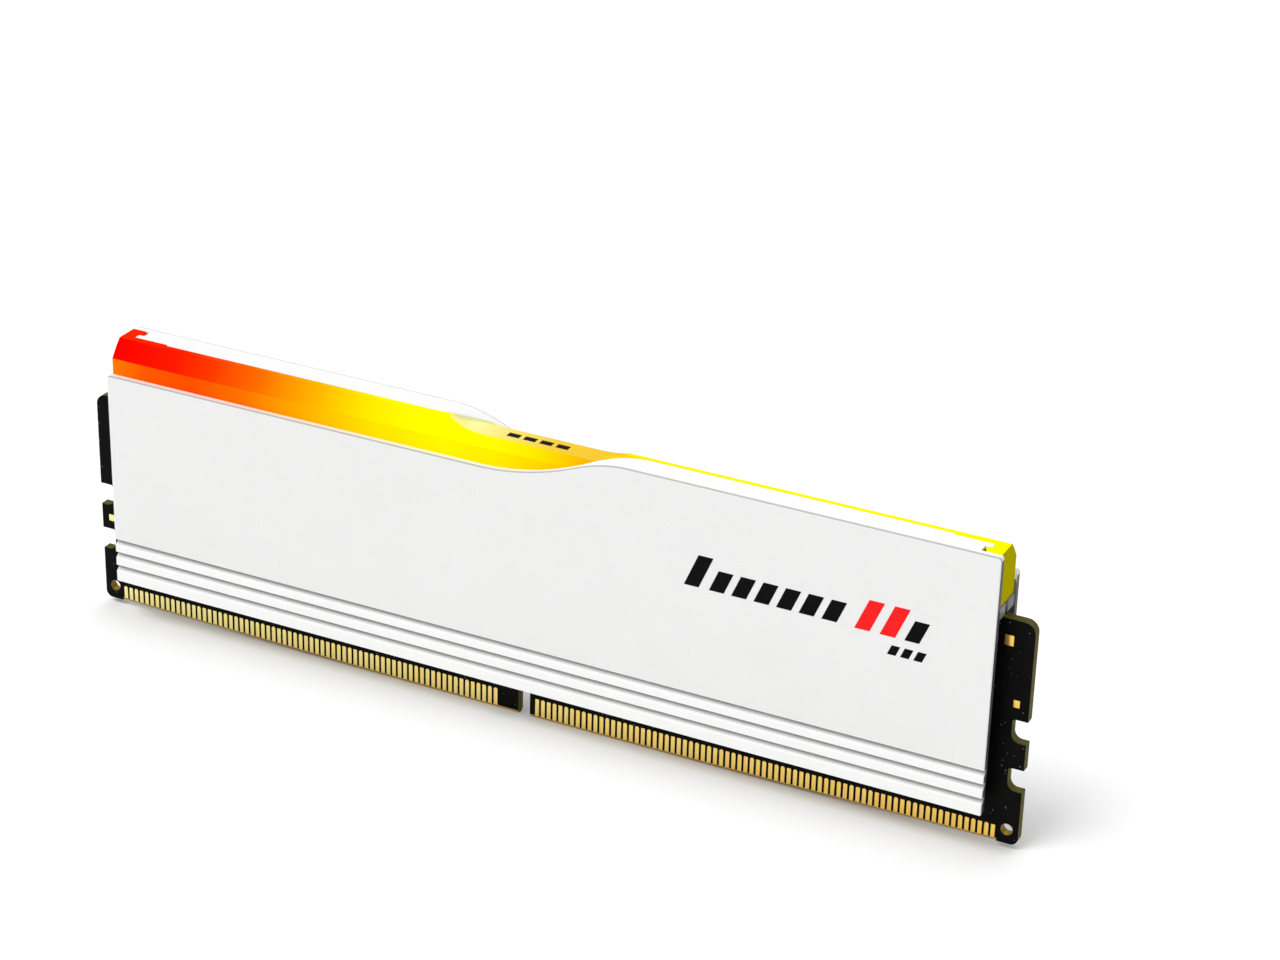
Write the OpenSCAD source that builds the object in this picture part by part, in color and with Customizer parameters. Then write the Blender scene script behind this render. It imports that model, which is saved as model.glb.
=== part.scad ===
// Desktop memory module with a 288-contact card edge, two white heat spreaders and a light bar.
// +X runs along the module, the face with the chips looks along -Y, +Z is up.
// The origin is at the middle of the card edge's lowest line.

/* [Board] */
// Length of the circuit board
board_len = 133.35; // [133.2:0.05:133.5]
// Height of the circuit board
board_h = 31.25; // [31:0.05:31.5]
// Thickness of the circuit board
board_t = 1.27; // [1.2:0.01:1.37]
// How far the middle of the contact edge reaches below its ends
edge_bow = 0.7; // [0.4:0.05:0.9]
// Radius of the board's upper corners
top_corner_r = 1.5; // [1:0.1:2]
// Radius of the board's lower corners
low_corner_r = 1; // [0.6:0.1:1.5]

/* [Board notches and holes] */
// Left side of the keying notch
key_x0 = -2.25; // [-2.4:0.05:-2.1]
// Right side of the keying notch
key_x1 = -0.55; // [-0.7:0.05:-0.4]
// Height of the keying notch above the lowest line
key_h = 4.3; // [4:0.1:4.6]
// Depth of the latch notches in the board's ends
latch_d = 1.95; // [1.6:0.05:2.1]
// Height of each latch notch
latch_h = 3.1; // [2.8:0.1:3.4]
// Lower sides of the two latch notches
latch_z = [8.2, 14.9];
// Diameter of the tooling holes
hole_d = 1.6; // [1.4:0.05:1.8]
// Distance of the tooling holes from the middle
hole_x = 65.15; // [64.9:0.05:65.3]
// Height of the tooling holes
hole_z = 2.65; // [2.4:0.05:2.9]

/* [Contacts] */
// Pitch of the contacts
pad_pitch = 0.85; // [0.85]
// Width of a contact
pad_w = 0.6; // [0.55:0.01:0.65]
// Height of the contacts' upper ends
pad_top = 2.95; // [2.8:0.05:3.2]
// Height of the bevelled strip under the contacts
pad_lift = 0.43; // [0.3:0.01:0.5]
// Contacts to the left of the keying notch, seen from the front
pads_left = 69; // [69]
// Contacts to the right of the keying notch
pads_right = 75; // [75]

/* [Heat spreaders] */
// Overall thickness across both heat spreaders
spread_d = 7.2; // [7:0.1:7.6]
// Sheet thickness of a heat spreader
sheet_t = 1; // [0.9:0.05:1.1]
// Length of a heat spreader
spread_len = 125.4; // [125:0.1:126]
// Height of the heat spreaders' lower edge
spread_z0 = 5.35; // [5.2:0.05:5.5]
// Height of the upper edge beside the exposed side of the light bar
low_top = 35.85; // [35.5:0.05:36.2]
// Height of the folded upper edge
high_top = 40.35; // [40:0.05:41]
// Upper sides of the three long grooves
groove_z = [11.72, 9.82, 7.82];
// Depth of a groove
groove_d = 0.6; // [0.4:0.05:0.7]

/* [Light bar] */
// Length of the light bar
bar_len = 124.8; // [124.4:0.1:125.2]
// Height of the light bar's underside
bar_z0 = 33.1; // [32.9:0.1:33.5]
// Height of the crease between its upright and its sloping face
crease_z = 38; // [37.6:0.1:38.4]
// Half the width of its flat top in the middle
bar_flat = 1.6; // [1.4:0.05:1.8]
// Half the width of its ridges' outer slope at the top
ridge_y = 0.73; // [0.6:0.01:0.8]

/* [Electronics] */
// Width of a memory chip
chip_w = 10; // [9:0.5:10]
// Height of a memory chip
chip_h = 11; // [10:0.5:11]
// How far a memory chip stands off the board
chip_t = 1.1; // [1:0.05:1.2]
// Pitch of the memory chips in a group of four
chip_pitch = 12.6; // [12:0.1:12.8]
// Distance of the innermost memory chips from the middle
chip_x0 = 18.4; // [18:0.1:19]
// Height of the memory chips' centres
chip_z = 15.2; // [14.8:0.1:15.6]
// Number of light-emitting diodes on each side of the board
leds_side = 4; // [4]

/* [Hidden] */
$fn = 48;

white_paint = [0.93, 0.93, 0.92];
board_black = [0.06, 0.06, 0.06];
gold = [0.95, 0.76, 0.3];
package_black = [0.12, 0.12, 0.13];
pad_grey = [0.55, 0.6, 0.66];
part_tan = [0.6, 0.5, 0.4];
bar_yellow = [1, 0.75, 0.1];

half_len = board_len / 2;
face_y = board_t / 2;
outer_y = spread_d / 2;
inner_y = outer_y - sheet_t;
half_spread = spread_len / 2;
// The blade that carries the contacts ends just outside the last contact
blade_half = 63.95;
first_pad_x = -63.415;
pad_film = 0.04;
key_gap = 126.83 - (pads_left + pads_right - 2) * pad_pitch;
latch_low_r = 1.1;
latch_high_r = 0.35;

// The upper edge climbs in an S of two parabolas from rise_x0 over rise_xm to rise_x1
rise_x0 = -7;
rise_xm = 7;
rise_x1 = 14.2;
rise_part = 3 / 4.5;
rise_step = 1;

// The fold over the light bar starts in a wave and ends in a tongue near the module's end
fold_t = 1;
wave_x0 = 9;
wave_x1 = 15.5;
wave_span = 8;
wave_power = 1.6;
tongue_x = 60.65;
tongue_y = 1.3;
fold_end_x = 59.8;
// Near the tongue the fold's edge steps back from the middle line
step_x0 = 55.3;
step_x1 = 55.7;
step_y = 0.3;
// The light bar's finger reaches behind the tongue with a slanted tip
finger_x0 = 59.95;
finger_x1 = 60.45;
finger_y = 1.4;
spread_corner_r = 0.4;
groove_floor_h = 0.45;
groove_slope_h = 0.5;
tab_len = 3;
tab_z0 = 31.45;
tab_gap = 0.4;

bar_top = high_top - fold_t;
bar_half_w = inner_y - 0.05;
bar_half = bar_len / 2;
bar_lift_gap = 0.05;
ridge_x0 = 7.5;
ridge_x1 = 12.4;
ridge_step = 0.7;

print_t = 0.02;
print_slant = 0.42;
chip_air = 0.02;

function bow_z(x) = edge_bow * pow(x / blade_half, 2);
function quarter(x, z, r, turn) = [for (a = [0 : 6 : 90]) [x + r * cos(turn + a), z + r * sin(turn + a)]];
function pad_x(i) = first_pad_x + i * pad_pitch + (i >= pads_left ? key_gap - pad_pitch : 0);
function rise(x) = x < rise_xm
    ? rise_part * pow((x - rise_x0) / (rise_xm - rise_x0), 2)
    : 1 - (1 - rise_part) * pow((rise_x1 - x) / (rise_x1 - rise_xm), 2);
function chip_x(i) = i < 4 ? -chip_x0 - (3 - i) * chip_pitch : chip_x0 + (i - 4) * chip_pitch;
function led_x(i) = -48 + i * 13.7;

// Extrudes an outline drawn in X and Z between two values of Y
module slab(y0, y1) {
    translate([0, y1, 0]) rotate([90, 0, 0]) linear_extrude(height = y1 - y0) children();
}

// Extrudes a section drawn in Y and Z between two values of X
module beam(x0, x1) {
    translate([x0, 0, 0]) rotate([90, 0, 90]) linear_extrude(height = x1 - x0) children();
}

// A block between two corners
module block(a, b) {
    translate(a) cube(b - a);
}

module both_ends() {
    children();
    mirror([1, 0]) children();
}

// The outline of one latch notch, with its rounded inner corners, at the right-hand end
module latch_notch(z0) {
    x0 = half_len - latch_d;
    z1 = z0 + latch_h;
    translate([x0 + latch_low_r, z0]) square([latch_d, latch_h]);
    translate([x0, z0 + latch_low_r]) square([latch_d, latch_h - latch_low_r - latch_high_r]);
    translate([x0 + latch_low_r, z0 + latch_low_r]) circle(latch_low_r);
    translate([x0 + latch_high_r, z1 - latch_high_r]) circle(latch_high_r);
    translate([x0 + latch_high_r, z1 - 1]) square([latch_d, 1]);
}

// The board's whole outline, with its bowed contact edge and rounded corners
module board_blank() {
    low_z = edge_bow + low_corner_r;
    top_z = board_h - top_corner_r;
    blade = [for (x = [-blade_half : 5.3291666 : blade_half + 0.01]) [x, bow_z(x)]];
    polygon(concat(blade,
        quarter(half_len - low_corner_r, low_z, low_corner_r, 270),
        quarter(half_len - top_corner_r, top_z, top_corner_r, 0),
        quarter(top_corner_r - half_len, top_z, top_corner_r, 90),
        quarter(low_corner_r - half_len, low_z, low_corner_r, 180)));
}

module circuit_board() {
    color(board_black) slab(-face_y, face_y) difference() {
        board_blank();
        translate([key_x0, -1]) square([key_x1 - key_x0, key_h + 1]);
        for (z = latch_z) both_ends() latch_notch(z);
        both_ends() translate([hole_x, hole_z]) circle(d = hole_d);
    }
}

// The row of gold contacts, drawn once for either face
module contact_row() {
    for (i = [0 : pads_left + pads_right - 1]) {
        z0 = bow_z(pad_x(i)) + pad_lift;
        translate([pad_x(i) - pad_w / 2, z0]) square([pad_w, pad_top - pad_w / 2 - z0]);
        translate([pad_x(i), pad_top - pad_w / 2]) circle(d = pad_w, $fn = 24);
    }
}

module contacts_front() {
    color(gold) slab(-face_y - pad_film, -face_y) contact_row();
}

module contacts_rear() {
    color(gold) slab(face_y, face_y + pad_film) contact_row();
}

module dram_chip(i) {
    x = chip_x(i);
    color(package_black) block([x - chip_w / 2, -face_y - chip_t, chip_z - chip_h / 2],
        [x + chip_w / 2, -face_y, chip_z + chip_h / 2]);
}

module power_management_chip() {
    color(package_black) block([-2.5, -face_y - 0.85, 20.5], [2.5, -face_y, 25.5]);
}

module power_inductor(i) {
    color(part_tan) block([-7.6 + 5.6 * i, -face_y - 1.2, 26.6], [-3.6 + 5.6 * i, -face_y, 29.8]);
}

module spd_hub_chip() {
    color(package_black) block([-1.5, -face_y - 0.75, 12.4], [1.5, -face_y, 15.4]);
}

module light_controller_chip() {
    color(package_black) block([-2, face_y, 22], [2, face_y + 0.85, 26]);
}

module bulk_capacitors() {
    color(part_tan) for (x = [-11.6, 9.6], z = [20.4, 23.8, 27.2])
        block([x - 0.6, -face_y - 1, z], [x + 2.6, -face_y, z + 2.5]);
}

// Small capacitors around the memory chips on one face; side is -1 for the front
module small_capacitors(side) {
    y0 = side < 0 ? -face_y - 0.5 : face_y;
    color(part_tan) for (i = [0 : 7], k = [-4 : 2 : 4])
        block([chip_x(i) + k - 0.5, y0, 23.9], [chip_x(i) + k + 0.5, y0 + 0.5, 24.4]);
}

module decoupling_capacitors_front() {
    small_capacitors(-1);
}

module decoupling_capacitors_rear() {
    small_capacitors(1);
}

module series_resistors() {
    color(package_black) for (i = [0 : 7], k = [-3.75 : 2.5 : 3.75])
        block([chip_x(i) + k - 0.8, -face_y - 0.35, 6.6], [chip_x(i) + k + 0.8, -face_y, 7.4]);
}

// Side-emitting diodes that shine up into the light bar, alternately in front and behind
module rgb_led(i) {
    y0 = i % 2 == 0 ? -face_y - 1.1 : face_y;
    color("white") block([led_x(i) - 1.6, y0, 29.85], [led_x(i) + 1.6, y0 + 1.1, 31.2]);
}

module test_pads() {
    color(gold) {
        block([62.9, -face_y - pad_film, 27.7], [64.05, -face_y, 29.1]);
        block([64.65, -face_y - pad_film, 19.65], [65.45, -face_y, 20.65]);
        block([-65.6, -face_y - pad_film, 12.55], [-64.7, -face_y, 13.5]);
        block([-64.05, face_y, 27.7], [-62.9, face_y + pad_film, 29.1]);
    }
}

// The outline of a heat spreader's upright face, seen from outside
module spreader_face() {
    r = spread_corner_r;
    rise_h = high_top - low_top;
    wave = [for (x = [rise_x0 : rise_step : rise_x1]) [x, low_top + rise_h * rise(x)]];
    left = [[-half_spread, spread_z0], [-half_spread, low_top - r], [-half_spread + r, low_top - r]];
    right = [[half_spread - r, high_top], [half_spread - r, high_top - r],
        [half_spread, high_top - r], [half_spread, spread_z0]];
    polygon(concat(left, [[-half_spread + r, low_top]], wave, [[rise_x1, high_top]], right));
    translate([-half_spread + r, low_top - r]) circle(r);
    translate([half_spread - r, high_top - r]) circle(r);
}

// The outline of the fold over the light bar, from above: a wave, a tongue and a step
module spreader_fold() {
    y0 = -outer_y + 0.2;
    wave = [for (x = [wave_x0 : 0.5 : wave_x1])
        [x, -inner_y * pow((wave_x1 - x) / wave_span, wave_power)]];
    tongue = [[fold_end_x, y0], [fold_end_x, -tongue_y], [tongue_x, -tongue_y],
        [tongue_x, -step_y], [step_x1, -step_y], [step_x0, 0]];
    polygon(concat([[wave_x0, y0]], wave, [for (i = [5 : -1 : 0]) tongue[i]]));
}

// Long grooves with a sharp upper side, a floor and a slope back out to the face
module spreader_grooves() {
    for (z = groove_z) beam(-half_spread - 1, half_spread + 1)
        polygon([[-outer_y - 1, z], [-outer_y + groove_d, z], [-outer_y + groove_d, z - groove_floor_h],
            [-outer_y, z - groove_floor_h - groove_slope_h],
            [-outer_y - 1, z - groove_floor_h - groove_slope_h]]);
}

module heat_spreader() {
    color(white_paint) {
        difference() {
            slab(-outer_y, -inner_y) spreader_face();
            spreader_grooves();
        }
        translate([0, 0, high_top - fold_t]) linear_extrude(height = fold_t) spreader_fold();
        for (x = [-half_spread, half_spread - tab_len])
            block([x, -inner_y - 0.2, tab_z0], [x + tab_len, -tab_gap, bar_z0]);
    }
}

module front_heat_spreader() {
    heat_spreader();
}

module rear_heat_spreader() {
    rotate([0, 0, 180]) heat_spreader();
}

// A thermal pad between x0 and x1 that fills the space from y0 to y1
module chip_pad(x0, x1, y0, y1) {
    color(pad_grey) block([x0, y0, 9], [x1, y1, 22]);
}

module front_thermal_pad_left() {
    chip_pad(-61, -12.6, -inner_y, -face_y - chip_t);
}

module front_thermal_pad_right() {
    chip_pad(12.6, 61, -inner_y, -face_y - chip_t);
}

module power_gap_pad() {
    color(pad_grey) block([-3, -inner_y, 20.2], [3, -face_y - 0.85, 25.8]);
}

module rear_thermal_pad_left() {
    chip_pad(-61, -12.6, face_y, inner_y);
}

module rear_thermal_pad_right() {
    chip_pad(12.6, 61, face_y, inner_y);
}

// Half of what stands above the light bar's flat top: the ridge that fills the exposed side
// and the hooked end that holds the fold's tongue
module bar_ridge() {
    ramp = [for (t = [0 : 0.125 : 1])
        [-ridge_x1 + t * (ridge_x1 - ridge_x0), bar_top + fold_t * pow(1 - t, 2)]];
    intersection() {
        beam(-bar_half, -ridge_x0)
            polygon([[-bar_flat, bar_top], [-ridge_y, high_top], [-bar_lift_gap, high_top],
                [-bar_lift_gap, bar_top]]);
        slab(-2, 2) polygon(concat([[-bar_half, bar_top], [-bar_half, high_top]], ramp));
    }
    end_x = tongue_x + 0.1;
    inner = step_y - bar_lift_gap;
    translate([0, 0, bar_top]) linear_extrude(height = fold_t)
        polygon([[-bar_half, -bar_lift_gap], [-step_x0, -bar_lift_gap], [-step_x1, inner],
            [-end_x, inner], [-end_x, finger_y], [-finger_x0, finger_y],
            [-finger_x1, bar_half_w], [-bar_half, bar_half_w]]);
}

module light_bar() {
    w = bar_half_w;
    color(bar_yellow) {
        beam(-bar_half, bar_half)
            polygon([[-w, bar_z0], [w, bar_z0], [w, crease_z], [bar_flat, bar_top],
                [-bar_flat, bar_top], [-w, crease_z]]);
        bar_ridge();
        rotate([0, 0, 180]) bar_ridge();
    }
}

// A slanted dash of a printed row, in X and Z
module dash(x, z, w, h) {
    polygon([[x, z], [x + w, z], [x + w + print_slant * h, z + h], [x + print_slant * h, z + h]]);
}

module light_bar_mark() {
    color("black") translate([0, 0, bar_top]) linear_extrude(height = print_t)
        for (i = [0 : 3]) translate([-4.4 + 2.3 * i, -0.5]) square([1.7, 1]);
}

module print_dark() {
    dash(22.2, 26.7, 2, 4.4);
    for (i = [0 : 5]) dash(25.6 + 3 * i, 26.7, 2, 2.9);
    dash(51.4, 26.6, 1.9, 2.9);
    for (i = [0 : 2]) dash(49.3 + 1.7 * i, 24.2, 1.1, 1.3);
}

module print_accent() {
    dash(44.9, 26.6, 2, 4.2);
    dash(48.2, 26.6, 2, 4.2);
}

module front_print_dark() {
    color("black") slab(-outer_y - print_t, -outer_y) print_dark();
}

module front_print_accent() {
    color("red") slab(-outer_y - print_t, -outer_y) print_accent();
}

module rear_print_dark() {
    rotate([0, 0, 180]) front_print_dark();
}

module rear_print_accent() {
    rotate([0, 0, 180]) front_print_accent();
}

circuit_board();
contacts_front();
contacts_rear();
dram_chip(0);  // dram_chip_1
dram_chip(1);  // dram_chip_2
dram_chip(2);  // dram_chip_3
dram_chip(3);  // dram_chip_4
dram_chip(4);  // dram_chip_5
dram_chip(5);  // dram_chip_6
dram_chip(6);  // dram_chip_7
dram_chip(7);  // dram_chip_8
power_management_chip();
power_inductor(0);  // power_inductor_1
power_inductor(1);  // power_inductor_2
power_inductor(2);  // power_inductor_3
spd_hub_chip();
light_controller_chip();
bulk_capacitors();
decoupling_capacitors_front();
decoupling_capacitors_rear();
series_resistors();
rgb_led(0);  // rgb_led_1
rgb_led(1);  // rgb_led_2
rgb_led(2);  // rgb_led_3
rgb_led(3);  // rgb_led_4
rgb_led(4);  // rgb_led_5
rgb_led(5);  // rgb_led_6
rgb_led(6);  // rgb_led_7
rgb_led(7);  // rgb_led_8
test_pads();
front_heat_spreader();
rear_heat_spreader();
front_thermal_pad_left();
front_thermal_pad_right();
power_gap_pad();
rear_thermal_pad_left();
rear_thermal_pad_right();
light_bar();
light_bar_mark();
front_print_dark();
front_print_accent();
rear_print_dark();
rear_print_accent();
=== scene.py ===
"""The looks of a desktop memory module with a light bar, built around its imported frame.

Shapes are worked out in millimetres, in the frame's axes, and become pieces in metres.
"""
import math
from random import Random

import bmesh
import bpy
from mathutils import Matrix, Quaternion, Vector


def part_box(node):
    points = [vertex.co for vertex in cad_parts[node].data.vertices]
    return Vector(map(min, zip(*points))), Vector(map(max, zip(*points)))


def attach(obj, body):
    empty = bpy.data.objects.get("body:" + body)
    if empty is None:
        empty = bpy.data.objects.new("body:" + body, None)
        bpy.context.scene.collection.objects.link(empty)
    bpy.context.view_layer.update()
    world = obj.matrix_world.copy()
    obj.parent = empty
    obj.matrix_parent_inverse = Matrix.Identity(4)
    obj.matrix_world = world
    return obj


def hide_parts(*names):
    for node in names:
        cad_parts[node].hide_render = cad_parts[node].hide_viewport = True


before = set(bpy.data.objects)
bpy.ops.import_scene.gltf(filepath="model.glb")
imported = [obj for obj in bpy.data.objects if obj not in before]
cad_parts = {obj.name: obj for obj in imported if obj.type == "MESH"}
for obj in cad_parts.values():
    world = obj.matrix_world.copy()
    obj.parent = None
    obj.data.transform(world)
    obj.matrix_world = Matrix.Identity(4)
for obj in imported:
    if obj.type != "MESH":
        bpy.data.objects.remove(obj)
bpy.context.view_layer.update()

MM = 0.001
BODY = "root"
HALF_TURN = Matrix.Rotation(math.pi, 4, "Z")
rng = Random(7)


def box_mm(node):
    """A CAD node's lowest and highest corner in millimetres."""
    low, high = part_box(node)
    return low / MM, high / MM


board_low, board_high = box_mm("circuit_board")
sheet_low, sheet_high = box_mm("front_heat_spreader")
bar_low, bar_high = box_mm("light_bar")
pads_low, pads_high = box_mm("contacts_front")

# Circuit board
BOARD_HALF = board_high.x
BOARD_FACE = board_high.y
BOARD_TOP = board_high.z
EDGE_BOW = 0.7
BLADE_HALF = 63.95
BEVEL_H = 0.43
BEVEL_D = 0.28
KEY = (-2.25, -0.55, 4.3)
LATCH_D = 1.95
LATCH_H = 3.1
LATCH_Z = (8.2, 14.9)
LATCH_R = (1.1, 0.35)
TOP_R = 1.5
LOW_R = 1.0
HOLE_X = 65.15
HOLE_Z = 2.65
HOLE_R = 0.8
HOLE_SIDES = 32
# Test pads: from X, to X, from Z, to Z, and the face, -1 for the front
TEST_PADS = [(62.9, 64.05, 27.7, 29.1, -1), (64.65, 65.45, 19.65, 20.65, -1),
             (-65.6, -64.7, 12.55, 13.5, -1), (-64.05, -62.9, 27.7, 29.1, 1)]

# Contacts
PITCH = 0.85
PAD_BOX_W = 0.6
PAD_W = 0.54
PAD_LIFT = 0.035
PADS_LEFT = 69
PADS_RIGHT = 75
PAD_TOP = pads_high.z
FIRST_PAD = pads_low.x + PAD_BOX_W / 2
SECOND_ROW = pads_high.x - PAD_BOX_W / 2 - (PADS_RIGHT - 1) * PITCH

# Heat spreaders
OUTER = -sheet_low.y
SHEET_T = 1.0
INNER = OUTER - SHEET_T
SHEET_HALF = sheet_high.x
SHEET_FOOT = sheet_low.z
HIGH_TOP = sheet_high.z
LOW_TOP = HIGH_TOP - 4.5
CORNER_R = 0.4
RISE = (-7.0, 7.0, 14.2)
RISE_PART = 2 / 3
WAVE = (7.5, 15.5)
WAVE_POWER = 1.6
WAVE_STEP = 0.5
FOLD_END = 59.8
TONGUE_END = 60.65
TONGUE_Y = 1.3
STEP_X = (55.3, 55.7)
STEP_Y = 0.3
GROOVE_TOPS = (7.82, 9.82, 11.72)
GROOVE_D = 0.6
GROOVE_H = 0.95
GROOVE_CORNER = 0.16
LIP = 0.05
EDGE = 0.11
# Width of the painted shade line beside the top edge's chamfer.
EDGE_LINE = 0.14
TAB_LEN = 3.0
TAB_FOOT = 31.45
TAB_GAP = 0.4

# Light bar
BAR_HALF = bar_high.x
BAR_W = bar_high.y
BAR_FOOT = bar_low.z
BAR_TOP = HIGH_TOP - SHEET_T
CREASE_Z = 38.0
BAR_FLAT = 1.6
RIDGE_Y = 0.73
RIDGE_GAP = 0.05
CREST_SOFT = 0.16
RIDGE_X = (-12.4, -7.5)
FINGER_X = (59.95, 60.45)
FINGER_Y = 1.4
HOOK_GAP = 0.1
# How far below the top the dark gap-shadow block stops; the block is a painted shadow in the gap
# beside each finger.
GAP_SHADOW_D = 0.35

# Packages
BALL_PITCH = 1.4
BALL_R = 0.3

# Stage
WORLD_LIGHT = 0.55
CAMERA_AZIMUTH = 25.82
CAMERA_ELEVATION = 25.83
CAMERA_ROLL = 1.61
CAMERA_AIM = (14.08, 0.0, 37.38)
CAMERA_DISTANCE = 396.38
LENS = 90.51

scene = bpy.context.scene


# ---------------------------------------------------------------- materials

def srgb(red, green, blue):
    """A screen colour, 0 to 255, as the linear colour that a shader takes."""
    def linear(c):
        c /= 255
        return c / 12.92 if c <= 0.04045 else ((c + 0.055) / 1.055) ** 2.4
    return (linear(red), linear(green), linear(blue), 1.0)


def grey(value):
    return (value, value, value, 1.0)


class Look:
    """A Principled material and short calls for the nodes that vary it over the surface."""

    def __init__(self, name, **sockets):
        self.material = bpy.data.materials.new(name)
        self.material.use_nodes = True
        self.tree = self.material.node_tree
        self.shader = self.tree.nodes["Principled BSDF"]
        for socket, value in sockets.items():
            self.shader.inputs[socket.replace("_", " ")].default_value = value
        self.place = self.node("ShaderNodeTexCoord").outputs["Object"]

    def node(self, kind, **inputs):
        made = self.tree.nodes.new(kind)
        for socket, value in inputs.items():
            self.feed(made.inputs[socket.replace("_", " ")], value)
        return made

    def feed(self, socket, value):
        if isinstance(value, bpy.types.NodeSocket):
            self.tree.links.new(value, socket)
        else:
            socket.default_value = value

    def link(self, socket, value):
        self.tree.links.new(value, self.shader.inputs[socket])

    def stretched(self, stretch):
        return self.node("ShaderNodeMapping", Vector=self.place, Scale=stretch).outputs[0]

    def noise(self, scale, detail=3.0, stretch=None):
        place = self.stretched(stretch) if stretch else self.place
        made = self.node("ShaderNodeTexNoise", Vector=place, Scale=scale, Detail=detail)
        return made.outputs["Fac"]

    def span(self, value, low, high, start=0.25, end=0.75):
        """value from start to end, moved to low and high."""
        made = self.node("ShaderNodeMapRange", Value=value)
        for socket, number in zip(("From Min", "From Max", "To Min", "To Max"),
                                  (start, end, low, high)):
            made.inputs[socket].default_value = number
        return made.outputs["Result"]

    def blend(self, share, first, second):
        made = self.tree.nodes.new("ShaderNodeMix")
        made.data_type = "RGBA"
        self.feed(made.inputs["Factor"], share)
        self.feed(made.inputs["A"], first)
        self.feed(made.inputs["B"], second)
        return made.outputs["Result"]

    def maths(self, operation, first, second):
        made = self.tree.nodes.new("ShaderNodeMath")
        made.operation = operation
        self.feed(made.inputs[0], first)
        self.feed(made.inputs[1], second)
        return made.outputs[0]

    def axis(self, letter):
        return self.node("ShaderNodeSeparateXYZ", Vector=self.place).outputs[letter]

    def ramp(self, value, stops, ease="LINEAR"):
        made = self.node("ShaderNodeValToRGB", Fac=value)
        made.color_ramp.interpolation = ease
        elements = made.color_ramp.elements
        while len(elements) < len(stops):
            elements.new(0.5)
        for element, (place, colour) in zip(elements, stops):
            element.position = place
            element.color = colour
        return made.outputs["Color"]

    def tinted(self, colour, factor):
        """One colour multiplied by another."""
        made = self.tree.nodes.new("ShaderNodeMix")
        made.data_type = "RGBA"
        made.blend_type = "MULTIPLY"
        self.feed(made.inputs["Factor"], 1.0)
        self.feed(made.inputs["A"], colour)
        self.feed(made.inputs["B"], factor)
        return made.outputs["Result"]

    def bump(self, height, strength, depth_mm):
        made = self.node("ShaderNodeBump", Height=height, Strength=strength, Distance=depth_mm * MM)
        self.link("Normal", made.outputs[0])


def powder_coat(name, shade, shade_stops=None):
    """Fine-grained powder coat; the optional stops scale its brightness from a groove's floor to the
    face, as painted shade.
    """
    look = Look(name, Specular_IOR_Level=0.35)
    grain = look.noise(5600, 4)
    mottle = look.noise(140, 3)
    mixed = look.maths("MULTIPLY_ADD", grain, 0.7)
    look.feed(mixed.node.inputs[2], look.maths("MULTIPLY", mottle, 0.3))
    tones = [(shade * part, shade * part, shade * part * 0.996, 1.0) for part in (0.955, 1.0)]
    coat = look.blend(look.span(mixed, 0, 1, 0.36, 0.64), *tones)
    # Painted shade: the deeper a point lies below the outer face, the darker it is.
    if shade_stops:
        away = look.maths("ABSOLUTE", look.axis("Y"), 0.0)
        share = look.span(away, 0, 1, (OUTER - GROOVE_D) * MM, OUTER * MM)
        coat = look.tinted(coat, look.ramp(share, shade_stops))
    look.link("Base Color", coat)
    look.link("Roughness", look.span(mottle, 0.44, 0.56))
    look.bump(grain, 0.22, 0.03)
    return look.material


def solder_mask():
    """Black solder mask over glass weave, with a few light specks."""
    look = Look("solder_mask_black", Specular_IOR_Level=0.05)
    cloth = look.stretched((1, 0, 1))
    warp = look.node("ShaderNodeTexWave", Vector=cloth, Scale=420, Distortion=1.2)
    warp.wave_type = "BANDS"
    warp.bands_direction = "X"
    weft = look.node("ShaderNodeTexWave", Vector=cloth, Scale=420, Distortion=1.2)
    weft.wave_type = "BANDS"
    weft.bands_direction = "Z"
    weave = look.maths("MULTIPLY", warp.outputs["Fac"], weft.outputs["Fac"])
    cells = look.node("ShaderNodeTexVoronoi", Vector=look.place, Scale=1600)
    chosen = look.maths("GREATER_THAN", look.noise(900, 1), 0.57)
    speck = look.maths("MULTIPLY", chosen, look.span(cells.outputs["Distance"], 1, 0, 0.06, 0.16))
    cloudy = look.span(look.noise(300, 4), 0, 1)
    base = look.blend(cloudy, (0.0008, 0.0008, 0.0008, 1), (0.003, 0.003, 0.0028, 1))
    look.link("Base Color", look.blend(speck, base, (0.24, 0.24, 0.22, 1)))
    look.link("Roughness", look.span(look.noise(700, 3), 0.34, 0.5))
    look.bump(weave, 0.18, 0.03)
    return look.material


def glass_epoxy(name, light, dark):
    """Cut edge of the board: layers of glass cloth in olive resin."""
    look = Look(name, Specular_IOR_Level=0.08)
    layers = look.node("ShaderNodeTexWave", Vector=look.place, Scale=760, Distortion=0.8)
    layers.wave_type = "BANDS"
    layers.bands_direction = "Y"
    fibres = look.noise(1500, 4, (0.6, 2.5, 0.6))
    share = look.maths("MULTIPLY", layers.outputs["Fac"], look.span(fibres, 0.35, 1))
    look.link("Base Color", look.blend(share, dark, light))
    look.link("Roughness", look.span(fibres, 0.55, 0.75))
    look.bump(fibres, 0.35, 0.04)
    return look.material


def gold_plate():
    """Brushed gold plating, paler towards the left end as a painted highlight."""
    look = Look("gold_plating", Metallic=0.8, Specular_IOR_Level=0.5)
    brushed = look.noise(3800, 3, (1, 1, 0.08))
    # Painted highlight: the gold runs paler towards the left end.
    along = look.span(look.axis("X"), 0, 1, -BOARD_HALF * MM, BOARD_HALF * MM)
    bright = look.blend(along, (1.0, 0.92, 0.42, 1), (1.0, 0.7, 0.16, 1))
    dull = look.blend(along, (1.0, 0.82, 0.27, 1), (1.0, 0.57, 0.08, 1))
    look.link("Base Color", look.blend(look.span(brushed, 0, 1), dull, bright))
    look.link("Roughness", look.span(brushed, 0.26, 0.38))
    look.bump(brushed, 0.1, 0.01)
    return look.material


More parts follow.
